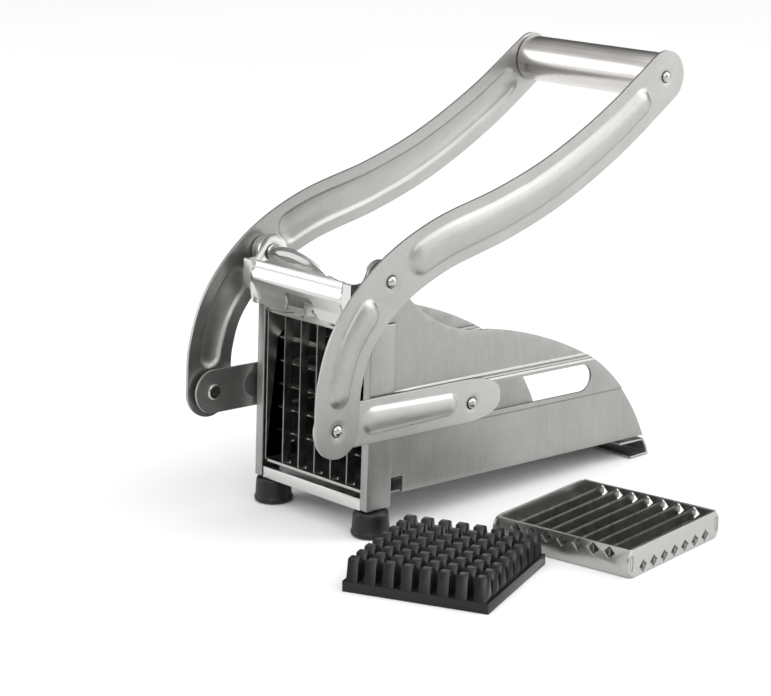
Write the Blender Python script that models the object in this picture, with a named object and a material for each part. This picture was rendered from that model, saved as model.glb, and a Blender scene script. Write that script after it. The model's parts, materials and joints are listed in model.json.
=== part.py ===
"""Lever-operated vegetable dicer: a sheet-steel press with a 6 x 6 blade grid and a spare 8 x 8 set.

Everything is drawn in a body frame (x towards the rear, z up, along the floor pan) and then tilted
by TILT, because the dicer stands higher on its front feet than on its rear foot.
Left is -Y and right is +Y. Lengths are in metres.
"""
import math

import bmesh
import bpy
from mathutils import Matrix, Vector

MM = 0.001
GAP = 0.0003

# Stance
TILT = math.radians(2.5)
REAR_FOOT_X = 199.5 * MM
REAR_FOOT_Z = -0.306 * MM

# Sheet body
WALL_OUT = 41.0 * MM
WALL_IN = 39.8 * MM
BAND_OUT = 42.0 * MM
WALL_FRONT = 16.3 * MM
WALL_BOTTOM = 11.0 * MM
WALL_TAIL = 202.0 * MM
BAND_LOW = 40.0 * MM
BAND_HIGH = 61.5 * MM
BAND_REAR = 154.0 * MM
SHEET = 1.2 * MM

# Guide slot
SLOT_Z = 50.2 * MM
SLOT_R = 7.3 * MM
SLOT_FRONT = 43.5 * MM
SLOT_REAR = 149.7 * MM

# Linkage
PIVOT = (5.6 * MM, 119.6 * MM)
CRANK = (-26.4 * MM, 51.6 * MM)
GRIP = (195.3 * MM, 205.2 * MM)
SLIDER = (66.7 * MM, SLOT_Z)
ARM_IN = 47.3 * MM
ARM_OUT = 48.8 * MM
ARM_HALF = 13.6 * MM
ARM_RIB = 2.4 * MM
LINK_IN = 43.6 * MM
LINK_OUT = 44.8 * MM
LINK_HALF = 11.0 * MM
LINK_RIB = 1.2 * MM
PIN_R = 3.0 * MM
HOLE_R = 3.3 * MM
HEAD_R = 4.1 * MM
HEAD_H = 1.7 * MM
GRIP_R = 12.0 * MM

# Cartridges
CART_HALF = 39.3 * MM
CART_DEPTH = 14.0 * MM
CART_FRONT = 1.6 * MM
CART_MID_Z = 52.4 * MM
CART_SHEET = 1.4 * MM
BLADE_W = 5.4 * MM
BLADE_T = 0.8 * MM
SPARE_BLADE_T = 0.7 * MM
COARSE_PITCH = 12.0 * MM
CROSS_HALF = 3 * COARSE_PITCH + CART_SHEET / 2
FINE_PITCH = 9.0 * MM

# Spare set on the floor: middle and turn of each piece
SPARE_PUSHER_AT = (-206.6 * MM, -104.6 * MM)
SPARE_PUSHER_TURN = math.radians(-67.0)
SPARE_GRID_AT = (-113.6 * MM, -120.6 * MM)
SPARE_GRID_TURN = math.radians(8.0)

STEEL = ("brushed_steel", (0.62, 0.61, 0.59), 0.34, 1.0)
POLISHED = ("polished_steel", (0.72, 0.71, 0.70), 0.16, 1.0)
BLADE = ("blade_steel", (0.66, 0.67, 0.68), 0.22, 1.0)
PLASTIC = ("black_plastic", (0.018, 0.018, 0.019), 0.45, 0.0)
RUBBER = ("black_rubber", (0.014, 0.014, 0.014), 0.75, 0.0)


# ---------------------------------------------------------------- scene helpers

def clear_scene():
    for item in list(bpy.data.objects):
        bpy.data.objects.remove(item, do_unlink=True)


def material(spec):
    name, colour, roughness, metallic = spec
    found = bpy.data.materials.get(name)
    if found:
        return found
    made = bpy.data.materials.new(name)
    made.use_nodes = True
    shader = made.node_tree.nodes["Principled BSDF"]
    shader.inputs["Base Color"].default_value = (*colour, 1.0)
    shader.inputs["Roughness"].default_value = roughness
    shader.inputs["Metallic"].default_value = metallic
    return made


def body_matrix():
    """Body frame to world: tilt about Y, with the rear foot's middle at the world origin."""
    turn = Matrix.Rotation(TILT, 4, "Y")
    return turn @ Matrix.Translation((-REAR_FOOT_X, 0.0, -REAR_FOOT_Z))


def to_world(x, y, z):
    return body_matrix() @ Vector((x, y, z))


def to_body(x, z):
    point = body_matrix().inverted() @ Vector((x, 0.0, z))
    return point.x, point.z


def empty(name, matrix, parent=None):
    item = bpy.data.objects.new(name, None)
    bpy.context.collection.objects.link(item)
    item.empty_display_size = 0.02
    item.matrix_world = matrix
    if parent:
        item.parent = parent
        item.matrix_parent_inverse = parent.matrix_world.inverted()
    return item


def add(name, mesh_data, spec, parent):
    """Turn a bmesh drawn in body coordinates into an object under a joint's empty."""
    bmesh.ops.remove_doubles(mesh_data, verts=mesh_data.verts, dist=1e-6)
    bmesh.ops.recalc_face_normals(mesh_data, faces=mesh_data.faces)
    mesh = bpy.data.meshes.new(name)
    mesh_data.to_mesh(mesh)
    mesh_data.free()
    mesh.materials.append(material(spec))
    item = bpy.data.objects.new(name, mesh)
    bpy.context.collection.objects.link(item)
    frame = BODY.matrix_world
    mesh.transform(parent.matrix_world.inverted() @ frame)
    item.parent = parent
    item.matrix_world = parent.matrix_world
    mesh.shade_smooth()
    mesh.set_sharp_from_angle(angle=math.radians(35))
    return item


def cutter(name, mesh_data, target, operation="DIFFERENCE"):
    """Apply a Boolean between target and a bmesh drawn in the target's body coordinates."""
    tool = add(name, mesh_data, STEEL, target.parent)
    tool.hide_render = True
    tool.display_type = "WIRE"
    boolean = target.modifiers.new(name, "BOOLEAN")
    boolean.operation = operation
    boolean.solver = "EXACT"
    boolean.object = tool
    return tool


# ---------------------------------------------------------------- shape helpers

def box(low, high):
    made = bmesh.new()
    bmesh.ops.create_cube(made, size=1.0)
    for vert in made.verts:
        vert.co = Vector([low[i] + (vert.co[i] + 0.5) * (high[i] - low[i]) for i in range(3)])
    return made


def plate(outline, y_low, y_high):
    """Extrude an (x, z) outline between two y planes."""
    made = bmesh.new()
    low = [made.verts.new((x, y_low, z)) for x, z in outline]
    high = [made.verts.new((x, y_high, z)) for x, z in outline]
    made.faces.new(low)
    made.faces.new(reversed(high))
    for i in range(len(outline)):
        j = (i + 1) % len(outline)
        made.faces.new((low[i], high[i], high[j], low[j]))
    return made


def rod(x, z, radius, y_low, y_high, sides=24):
    return plate(ring_points(x, z, radius, sides), y_low, y_high)


def ring_points(x, z, radius, sides=24, start=0.0, sweep=2 * math.pi, closed=False):
    steps = sides if not closed else sides + 1
    return [(x + radius * math.cos(start + sweep * i / sides),
             z + radius * math.sin(start + sweep * i / sides)) for i in range(steps)]


def arc_through(first, middle, last, steps):
    """Points on the circle through three points, from first to last."""
    a, b, c = Vector(first), Vector(middle), Vector(last)
    ab, ac = b - a, c - a
    cross = 2 * (ab.x * ac.y - ab.y * ac.x)
    centre = a + Vector((ac.y * ab.length_squared - ab.y * ac.length_squared,
                         ab.x * ac.length_squared - ac.x * ab.length_squared)) / cross
    radius = (a - centre).length
    start = math.atan2(a.y - centre.y, a.x - centre.x)
    end = math.atan2(c.y - centre.y, c.x - centre.x)
    sweep = end - start
    if cross < 0 and sweep > 0:
        sweep -= 2 * math.pi
    if cross > 0 and sweep < 0:
        sweep += 2 * math.pi
    return ring_points(centre.x, centre.y, radius, steps, start, sweep, closed=True)


def turned(profile, x, z, side, sides=24):
    """Turn a (radius, y) profile about the Y axis at (x, z); side is -1 for left, 1 for right."""
    made = bmesh.new()
    rings = []
    for radius, y in profile:
        if radius < 1e-7:
            rings.append([made.verts.new((x, side * y, z))])
            continue
        rings.append([made.verts.new((px, side * y, pz)) for px, pz in ring_points(x, z, radius, sides)])
    for low, high in zip(rings, rings[1:]):
        for i in range(sides):
            j = (i + 1) % sides
            corners = [low[i % len(low)], low[j % len(low)], high[j % len(high)], high[i % len(high)]]
            unique = list(dict.fromkeys(corners))
            made.faces.new(unique)
    for cap in (rings[0], rings[-1]):
        if len(cap) > 1:
            made.faces.new(cap)
    return made


def tube(x, z, outer, inner, y_low, y_high, sides=24):
    made = bmesh.new()
    rings = []
    for radius, y in ((outer, y_low), (outer, y_high), (inner, y_high), (inner, y_low)):
        rings.append([made.verts.new((px, y, pz)) for px, pz in ring_points(x, z, radius, sides)])
    for k in range(4):
        low, high = rings[k], rings[(k + 1) % 4]
        for i in range(sides):
            j = (i + 1) % sides
            made.faces.new((low[i], low[j], high[j], high[i]))
    return made


def folded(section, y_low, y_high, thickness):
    """A sheet folded along an (x, z) line, thickened on the left of its direction."""
    count = len(section)
    offsets = []
    for i in range(count):
        here = Vector(section[i])
        before = (here - Vector(section[max(i - 1, 0)])).normalized() if i else None
        after = (Vector(section[min(i + 1, count - 1)]) - here).normalized() if i < count - 1 else None
        before = before or after
        after = after or before
        normal = Vector((-(before.y + after.y), before.x + after.x)).normalized()
        stretch = 1.0 / max(0.35, normal.dot(Vector((-before.y, before.x))))
        offsets.append(tuple(here + normal * thickness * stretch))
    return plate(list(section) + offsets[::-1], y_low, y_high)


def spline(points, steps):
    """A Catmull-Rom curve through the points, with the end tangents carried straight on."""
    ends = [2 * Vector(points[0]) - Vector(points[1])] + [Vector(p) for p in points]
    ends.append(2 * Vector(points[-1]) - Vector(points[-2]))
    curve = []
    for k in range(1, len(ends) - 2):
        p0, p1, p2, p3 = ends[k - 1:k + 3]
        for i in range(steps):
            t = i / steps
            curve.append(0.5 * (2 * p1 + (p2 - p0) * t + (2 * p0 - 5 * p1 + 4 * p2 - p3) * t * t
                                + (3 * p1 - p0 - 3 * p2 + p3) * t ** 3))
    curve.append(ends[-2])
    return curve


def smooth_step(value):
    value = min(1.0, max(0.0, value))
    return value * value * (3 - 2 * value)


# ---------------------------------------------------------------- body shell

def wall_outline():
    """Side wall in (x, z): pivot ear at the front top, long falling top edge, round tail."""
    ear_x, ear_z = PIVOT
    ear_r = 9.0 * MM
    notch_x = 24.3 * MM
    notch_z = 19.4 * MM
    shoulder = 97.3 * MM
    ear_rear = ring_points(ear_x, ear_z, ear_r, 10, math.pi, -math.pi, closed=True)
    falling = arc_through((ear_x + ear_r, ear_z), (35.6 * MM, 99.3 * MM), (80 * MM, 85.5 * MM), 12)
    brow = arc_through((80 * MM, 85.5 * MM), (120 * MM, 76.2 * MM), (156 * MM, 61.3 * MM), 8)
    tail = arc_through((156 * MM, 61.3 * MM), (183.5 * MM, 38.8 * MM), (WALL_TAIL, WALL_BOTTOM), 10)
    points = [(notch_x, WALL_BOTTOM), (notch_x, notch_z), (WALL_FRONT, notch_z)]
    points += [(WALL_FRONT, shoulder), (ear_x - ear_r, shoulder)]
    return points + ear_rear + falling[1:] + brow[1:] + tail[1:]


def slot_outline(radius):
    rear = ring_points(SLOT_REAR, SLOT_Z, radius, 12, -math.pi / 2, math.pi, closed=True)
    front = ring_points(SLOT_FRONT, SLOT_Z, radius, 12, math.pi / 2, math.pi, closed=True)
    return rear + front


def make_wall(name, side):
    inner, outer = sorted((side * WALL_IN, side * WALL_OUT))
    wall = add(name, plate(wall_outline(), inner, outer), STEEL, BODY)
    low, high = sorted((side * (WALL_OUT - 0.4 * MM), side * BAND_OUT))
    band = [(WALL_FRONT, BAND_LOW), (BAND_REAR + 14 * MM, BAND_LOW), (BAND_REAR, BAND_HIGH),
            (WALL_FRONT, BAND_HIGH)]
    cutter(name + "_band_guide", plate(band, low, high), wall, "UNION")
    low, high = sorted((side * 35 * MM, side * 50 * MM))
    cutter(name + "_slot_cutter", plate(slot_outline(SLOT_R), low, high), wall)
    cutter(name + "_pivot_cutter", rod(*PIVOT, HOLE_R, low, high), wall)


def make_floor():
    low = WALL_BOTTOM + 0.2 * MM
    half = WALL_IN - GAP
    add("floor_pan", box((17.0 * MM, -half, low), (200.0 * MM, half, low + SHEET)), STEEL, BODY)


def make_rear_foot():
    """Folded foot across the full width: lip under the floor, curved heel, flange on the ground."""
    top = WALL_BOTTOM - GAP - SHEET
    heel = arc_through((201.4 * MM, top), (204.2 * MM, 5.6 * MM), to_body(6.6 * MM, 0.0), 5)
    toe = to_body(-7.4 * MM, 0.0)
    section = [(183.0 * MM, top)] + heel + [toe]
    add("rear_foot", folded(section[::-1], -BAND_OUT, BAND_OUT, SHEET), STEEL, BODY)


def make_post(name, side):
    """Front corner post: an angle whose lip stops the blade cartridge."""
    bottom, top, lip = 5.0 * MM, 97.0 * MM, 36.9 * MM
    corner = side * (BAND_OUT - SHEET)
    outline = [(0.0, side * lip), (SHEET, side * lip), (SHEET, corner), (16.0 * MM, corner),
               (16.0 * MM, side * BAND_OUT), (0.0, side * BAND_OUT)]
    made = bmesh.new()
    low = [made.verts.new((x, y, bottom)) for x, y in outline]
    high = [made.verts.new((x, y, top)) for x, y in outline]
    made.faces.new(low)
    made.faces.new(high)
    for i in range(len(outline)):
        j = (i + 1) % len(outline)
        made.faces.new((low[i], low[j], high[j], high[i]))
    add(name, made, STEEL, BODY)


def make_sill():
    """Lower front crossbar: an angle between the posts that carries the cartridge."""
    half = 36.5 * MM
    section = [(15.6 * MM, 10.4 * MM), (SHEET / 2, 10.4 * MM), (SHEET / 2, 4.4 * MM)]
    sill = add("front_sill", folded(section[::-1], -half, half, -SHEET), STEEL, BODY)
    for side, label in ((-1, "left"), (1, "right")):
        low, high = sorted((side * 32.6 * MM, side * 38 * MM))
        notch = box((3.4 * MM, low, 3.0 * MM), (17 * MM, high, 14 * MM))
        cutter("sill_corner_cutter_" + label, notch, sill)


def make_foot(name, side):
    """Rubber foot with its stem inside the post; it stands square on the ground."""
    x, y = 8.0 * MM, side * 36.6 * MM
    centre = to_world(x, y, 0.0)
    top = to_world(x, y, 4.2 * MM).z
    profile = [(8.6 * MM, 0.0), (10.0 * MM, 1.2 * MM), (9.9 * MM, 2.4 * MM), (8.4 * MM, top - 1.0 * MM),
               (7.6 * MM, top), (3.2 * MM, top), (3.2 * MM, top + 7.0 * MM)]
    made = bmesh.new()
    sides = 24
    rings = []
    for radius, height in profile:
        rings.append([made.verts.new((centre.x + radius * math.cos(2 * math.pi * i / sides),
                                      centre.y + radius * math.sin(2 * math.pi * i / sides),
                                      height)) for i in range(sides)])
    for low, high in zip(rings, rings[1:]):
        for i in range(sides):
            j = (i + 1) % sides
            made.faces.new((low[i], low[j], high[j], high[i]))
    made.faces.new(rings[0])
    made.faces.new(rings[-1])
    made.transform(body_matrix().inverted())
    add(name, made, RUBBER, BODY)


def make_stop(name, side):
    """Block between wall and pusher: the cartridge rests on it, and the pusher slides past it."""
    pusher_side = 3 * COARSE_PITCH
    low, high = sorted((side * (pusher_side + 0.6 * MM), side * (WALL_OUT + 0.4 * MM)))
    block = box((17.2 * MM, low, 12.7 * MM), (23.9 * MM, high, 19.0 * MM))
    add(name, block, PLASTIC, BODY)


def make_pivot(label, side):
    """Pivot rivet with its domed head outside, and the bush that spaces the lever off the wall."""
    arm_out = ARM_OUT + GAP
    inner = 38.0 * MM
    profile = [(0.0, arm_out + HEAD_H)]
    profile += [(HEAD_R * math.sin(a), arm_out + HEAD_H * math.cos(a)) for a in (0.5, 0.95, 1.3)]
    profile += [(HEAD_R, arm_out), (PIN_R, arm_out), (PIN_R, inner), (HEAD_R, inner),
                (HEAD_R * 0.93, inner - 1.0 * MM), (0.0, inner - 1.4 * MM)]
    add("pivot_rivet_" + label, turned(profile, *PIVOT, side), POLISHED, BODY)
    low, high = sorted((side * (WALL_OUT + GAP), side * (ARM_IN - GAP)))
    add("pivot_bush_" + label, tube(*PIVOT, 7.0 * MM, HOLE_R, low, high), BLADE, BODY)


# ---------------------------------------------------------------- blade retainer

def make_retainer(parent):
    """Bridge over the blades: creased front sheet, two eyes on the pivot rivets, a finger tab."""
    arm_out, arm_in = 39.5 * MM, 38.3 * MM
    low_edge, ridge, brow = (-8.0 * MM, 96.3 * MM), (-12.4 * MM, 109.4 * MM), (-10.0 * MM, 118.7 * MM)
    half = 33.0 * MM
    front = folded([low_edge, (-9.6 * MM, 102.0 * MM), ridge, (-12.2 * MM, 111.4 * MM), brow],
                   -half, half, -SHEET)
    retainer = add("blade_retainer", front, STEEL, parent)
    for side, label in ((-1, "left"), (1, "right")):
        low, high = sorted((side * arm_in, side * arm_out))
        ear_x, ear_z = PIVOT
        ear = ring_points(ear_x, ear_z, 9.2 * MM, 12, math.pi, -math.pi, closed=True)
        outline = [(12.0 * MM, 104.0 * MM), (-11.4 * MM, 104.0 * MM), (-11.4 * MM, 118.4 * MM)]
        outline += [(-5.4 * MM, 118.4 * MM)] + ear
        cutter("retainer_arm_guide_" + label, plate(outline, low, high), retainer, "UNION")
        low, high = sorted((side * (half - 0.6 * MM), side * arm_out))
        cheek = box((-12.1 * MM, low, 104.0 * MM), (-10.9 * MM, high, 118.4 * MM))
        cutter("retainer_cheek_guide_" + label, cheek, retainer, "UNION")
    cutter("retainer_tab_guide", tab_solid(), retainer, "UNION")
    cutter("retainer_eye_cutter", rod(*PIVOT, HOLE_R, -50 * MM, 50 * MM), retainer)
    notch_half = 10.2 * MM
    notch = box((-20 * MM, -notch_half, 90 * MM), (-4 * MM, notch_half, 106.6 * MM))
    cutter("retainer_notch_cutter", notch, retainer)


def tab_solid():
    """Finger tab that leans forward from the top edge: a tapering tongue with round corners."""
    made = bmesh.new()
    base, tip = Vector((-10.4 * MM, 118.2 * MM)), Vector((-19.2 * MM, 130.6 * MM))
    along = (tip - base)
    normal = Vector((along.y, -along.x)).normalized() * SHEET
    rows = 8
    layers = []
    for layer in (0.0, 1.0):
        grid = []
        for i in range(rows + 1):
            t = i / rows
            half = 23.0 * MM - 10.5 * MM * t - 7.0 * MM * t ** 5
            point = base + along * t + normal * layer
            grid.append([made.verts.new((point.x, half * s, point.y)) for s in (-1, -0.5, 0, 0.5, 1)])
        layers.append(grid)
    low, high = layers
    for i in range(rows):
        for j in range(4):
            for grid in layers:
                made.faces.new((grid[i][j], grid[i + 1][j], grid[i + 1][j + 1], grid[i][j + 1]))
        for j in (0, 4):
            made.faces.new((low[i][j], low[i + 1][j], high[i + 1][j], high[i][j]))
    for i in (0, rows):
        for j in range(4):
            made.faces.new((low[i][j], low[i][j + 1], high[i][j + 1], high[i][j]))
    return made


# ---------------------------------------------------------------- lever

ARM_LINE = [(-26.4, 51.6), (-25.2, 74.0), (-16.5, 96.5), (5.0, 118.0), (36.5, 133.6), (80.4, 145.4),
            (118.0, 159.2), (158.0, 180.2), (195.3, 205.2)]


def arm_spine(steps):
    return spline([(x * MM, z * MM) for x, z in ARM_LINE], steps)


def arm_height(s, t, length):
    """Outward rib height at distance s along the arm and fraction t (-1 to 1) across it."""
    across = smooth_step((0.60 - abs(t)) / 0.26)
    turn = 76 * MM
    long_rib = smooth_step((s - turn - 16 * MM) / (9 * MM)) * smooth_step((length - 20 * MM - s) / (9 * MM))
    short_rib = smooth_step((s - 11 * MM) / (9 * MM)) * smooth_step((turn - 7 * MM - s) / (9 * MM))
    return ARM_RIB * across * max(long_rib, short_rib)


def make_arm(name, side, parent):
    """S-shaped sheet arm with a long and a short pressed rib, drawn as a strip along its spine."""
    spine = arm_spine(7)
    across = [-1.0, -0.66, -0.5, -0.28, 0.0, 0.28, 0.5, 0.66, 1.0]
    length = sum((b - a).length for a, b in zip(spine, spine[1:]))
    made = bmesh.new()
    faces_in, faces_out = [], []
    travelled = 0.0
    for i, point in enumerate(spine):
        before, after = spine[max(i - 1, 0)], spine[min(i + 1, len(spine) - 1)]
        travelled += (point - before).length if i else 0.0
        along = (after - before).normalized()
        normal = Vector((-along.y, along.x))
        row_in, row_out = [], []
        for t in across:
            place = point + normal * ARM_HALF * t
            rise = arm_height(travelled, t, length)
            row_in.append(made.verts.new((place.x, side * (ARM_IN + rise), place.y)))
            row_out.append(made.verts.new((place.x, side * (ARM_OUT + rise), place.y)))
        faces_in.append(row_in)
        faces_out.append(row_out)
    close_strip(made, faces_in, faces_out, spine, side)
    arm = add(name, made, STEEL, parent)
    low, high = sorted((side * 40 * MM, side * 56 * MM))
    for label, centre in (("pivot", PIVOT), ("crank", CRANK), ("grip", GRIP)):
        cutter(name + "_" + label + "_cutter", rod(*centre, HOLE_R, low, high), arm)


def close_strip(made, rows_in, rows_out, spine, side):
    """Skin a strip on both faces and round its two ends."""
    last = len(rows_in[0]) - 1
    for rows in (rows_in, rows_out):
        for first, second in zip(rows, rows[1:]):
            for j in range(last):
                made.faces.new((first[j], first[j + 1], second[j + 1], second[j]))
    for i in range(len(rows_in) - 1):
        for j in (0, last):
            made.faces.new((rows_in[i][j], rows_in[i + 1][j], rows_out[i + 1][j], rows_out[i][j]))
    for end in (0, -1):
        centre = spine[end]
        away = (centre - spine[1 if end == 0 else -2]).normalized()
        start = Vector((-away.y, away.x)) * ARM_HALF
        rims = []
        for row, y in ((rows_in[end], ARM_IN), (rows_out[end], ARM_OUT)):
            flip = (Vector((row[0].co.x, row[0].co.z)) - centre).dot(start) < 0
            edge = list(reversed(row)) if flip else list(row)
            rim = [edge[0]]
            for k in range(1, 12):
                angle = -math.pi * k / 12
                turn = Matrix.Rotation(angle, 2)
                place = centre + turn @ start
                rim.append(made.verts.new((place.x, side * y, place.y)))
            rim.append(edge[-1])
            made.faces.new(rim + edge[-2:0:-1])
            rims.append(rim)
        for a, b in zip(range(12), range(1, 13)):
            made.faces.new((rims[0][a], rims[0][b], rims[1][b], rims[1][a]))


def make_handle(parent):
    half = ARM_IN - GAP
    add("handle_tube", tube(*GRIP, GRIP_R, GRIP_R - 1.2 * MM, -half, half, 32), POLISHED, parent)
    head = ARM_OUT + GAP
    dome = [(HEAD_R * math.sin(a), head + HEAD_H * math.cos(a)) for a in (0.5, 0.95, 1.3)]
    profile = [(0.0, head + HEAD_H)] + dome + [(HEAD_R, head), (PIN_R, head)]
    profile += [(r, -y) for r, y in reversed(profile)]
    add("handle_rod", turned(profile, *GRIP, 1), POLISHED, parent)


def make_crank_rivet(label, side, parent):
    """Rivet that joins lever and link: dome outside the lever, flat head inside the link."""
    head = ARM_OUT + GAP
    inner = LINK_IN - GAP
    dome = [(HEAD_R * math.sin(a), head + HEAD_H * math.cos(a)) for a in (0.5, 0.95, 1.3)]
    profile = [(0.0, head + HEAD_H)] + dome + [(HEAD_R, head), (PIN_R, head), (PIN_R, inner),
                                               (HEAD_R, inner), (HEAD_R, inner - 0.9 * MM)]
    add("crank_rivet_" + label, turned(profile, *CRANK, side), POLISHED, parent)


# ---------------------------------------------------------------- links and carriage

def link_outline():
    """Push link in (x, z): round at the crank, straight middle, blunt oval nose past the slider."""
    crank_x, crank_z = CRANK
    nose_start, nose_reach, steps = 60.0 * MM, 26.6 * MM, 14
    nose = []
    for i in range(steps + 1):
        angle = math.pi / 2 - math.pi * i / steps
        across = math.copysign(abs(math.sin(angle)) ** 0.8, math.sin(angle))
        nose.append((nose_start + nose_reach * abs(math.cos(angle)) ** 0.8, crank_z + LINK_HALF * across))
    heel = ring_points(crank_x, crank_z, LINK_HALF, 12, -math.pi / 2, -math.pi, closed=True)
    return nose + heel


def make_link(label, side, parent):
    low, high = sorted((side * LINK_IN, side * LINK_OUT))
    link = add("push_link_" + label, plate(link_outline(), low, high), STEEL, parent)
    low, high = sorted((side * (LINK_OUT - 0.4 * MM), side * (LINK_OUT + LINK_RIB)))
    rib = [(-5 * MM, CRANK[1] - 4.4 * MM), (55 * MM, CRANK[1] - 2.2 * MM), (57 * MM, CRANK[1]),
           (55 * MM, CRANK[1] + 2.2 * MM), (-5 * MM, CRANK[1] + 4.4 * MM), (-7.5 * MM, CRANK[1])]
    cutter("link_rib_guide_" + label, plate(rib, low, high), link, "UNION")
    low, high = sorted((side * 40 * MM, side * 50 * MM))
    cutter("link_crank_cutter_" + label, rod(*CRANK, HOLE_R, low, high), link)
    cutter("link_slider_cutter_" + label, rod(*SLIDER, HOLE_R, low, high), link)
    head = LINK_OUT + GAP
    dome = [(HEAD_R * math.sin(a), head + HEAD_H * math.cos(a)) for a in (0.5, 0.95, 1.3)]
    profile = [(0.0, head + HEAD_H)] + dome + [(HEAD_R, head), (PIN_R, head), (PIN_R, LINK_IN - 0.2 * MM)]
    add("slider_rivet_" + label, turned(profile, *SLIDER, side), POLISHED, parent)


def make_carriage(parent):
    """Folded carriage: upright front plate and two side ears that hold the slider axle."""
    half, x = 38.8 * MM, SLIDER[0] - 14.0 * MM
    front = box((x, -half, 13.2 * MM), (x + 1.5 * MM, half, 88.0 * MM))
    carriage = add("carriage", front, STEEL, parent)
    for side, label in ((-1, "left"), (1, "right")):
        low, high = sorted((side * half, side * (half - SHEET)))
        ear = [(x + 0.5 * MM, 34 * MM), (x + 20 * MM, 38 * MM), (x + 26 * MM, 44 * MM), (x + 26 * MM, 56 * MM),
               (x + 20 * MM, 62 * MM), (x + 0.5 * MM, 66 * MM)]
        cutter("carriage_ear_guide_" + label, plate(ear, low, high), carriage, "UNION")
        low, high = sorted((side * (WALL_IN - 0.5 * MM), side * (BAND_OUT + 0.2 * MM)))
        add("slider_bush_" + label, tube(*SLIDER, 6.6 * MM, HOLE_R, low, high), PLASTIC, parent)
    cutter("carriage_axle_cutter", rod(*SLIDER, HOLE_R, -45 * MM, 45 * MM), carriage)
    axle_half = BAND_OUT + 0.2 * MM
    add("slider_axle", rod(*SLIDER, PIN_R, -axle_half, axle_half, 20), POLISHED, parent)


def pusher_mesh(count, pitch, base, height):
    """Pusher plate with count x count fins along +Z: slim and straight in X, tapered in Y."""
    slim, wide, tip, crown = 0.62 * pitch, pitch - 0.8 * MM, 0.46 * pitch, 0.7 * MM
    half = count * pitch / 2
    made = bmesh.new()
    lines_x = grid_lines(count, pitch, slim)
    lines_y = grid_lines(count, pitch, wide)
    grid = [[made.verts.new((x, y, base)) for y in lines_y] for x in lines_x]
    floor = [[made.verts.new((x, y, 0.0)) for y in (-half, half)] for x in (-half, half)]
    last = len(lines_x) - 1
    for i in range(last):
        for j in range(last):
            corners = (grid[i][j], grid[i + 1][j], grid[i + 1][j + 1], grid[i][j + 1])
            if i % 2 and j % 2:
                steps = ((height - crown, slim - 0.4 * MM, tip), (height, slim - 2 * crown, tip - 2 * crown))
                raise_pin(made, corners, steps)
            else:
                made.faces.new(corners)
    made.faces.new((floor[0][0], floor[0][1], floor[1][1], floor[1][0]))
    rims = [[row[0] for row in grid], grid[last], [row[last] for row in reversed(grid)], grid[0][::-1]]
    feet = [(floor[0][0], floor[1][0]), (floor[1][0], floor[1][1]), (floor[1][1], floor[0][1]),
            (floor[0][1], floor[0][0])]
    for rim, (first, second) in zip(rims, feet):
        made.faces.new(rim + [second, first])
    return made


def centred(count, pitch):
    return [(i - (count - 1) / 2) * pitch for i in range(count)]


def grid_lines(count, pitch, width):
    """The plate's two edges and both sides of every pin."""
    half = count * pitch / 2
    sides = [c + sign * width / 2 for c in centred(count, pitch) for sign in (-1, 1)]
    return sorted(sides + [-half, half])


def raise_pin(made, corners, steps):
    """Grow one pin from a grid square through (lift, x size, y size) steps."""
    middle = sum((c.co for c in corners), Vector()) / 4
    below = list(corners)
    for lift, size_x, size_y in steps:
        above = []
        for corner in corners:
            dx = math.copysign(size_x / 2, corner.co.x - middle.x)
            dy = math.copysign(size_y / 2, corner.co.y - middle.y)
            above.append(made.verts.new((middle.x + dx, middle.y + dy, middle.z + lift)))
        for i in range(4):
            j = (i + 1) % 4
            made.faces.new((below[i], below[j], above[j], above[i]))
        below = above
    made.faces.new(below)


def make_pusher(parent):
    """Coarse pusher: its fins point at the blades and pass between them."""
    made = pusher_mesh(6, COARSE_PITCH, 5.0 * MM, 15.5 * MM)
    back = SLIDER[0] - 14.0 * MM - GAP
    turn = Matrix(((0, 0, -1, back), (0, 1, 0, 0), (1, 0, 0, CART_MID_Z), (0, 0, 0, 1)))
    made.transform(turn)
    add("pusher_block", made, PLASTIC, parent)


# ---------------------------------------------------------------- blade cartridges

def diamond(x, z, half):
    return [(x - half, z), (x, z - half), (x + half, z), (x, z + half)]


def end_plate(low, high):
    """Long plate with round ends, standing along X between two y planes."""
    corner = 5.6 * MM
    outline = []
    for sx, sz, start in ((1, 1, 0.0), (-1, 1, 0.5), (-1, -1, 1.0), (1, -1, 1.5)):
        x = sx * (CART_HALF - corner)
        z = CART_DEPTH / 2 + sz * (CART_DEPTH / 2 - corner)
        outline += ring_points(x, z, corner, 5, math.pi * start, math.pi / 2, closed=True)
    return plate(outline, low, high)


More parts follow.
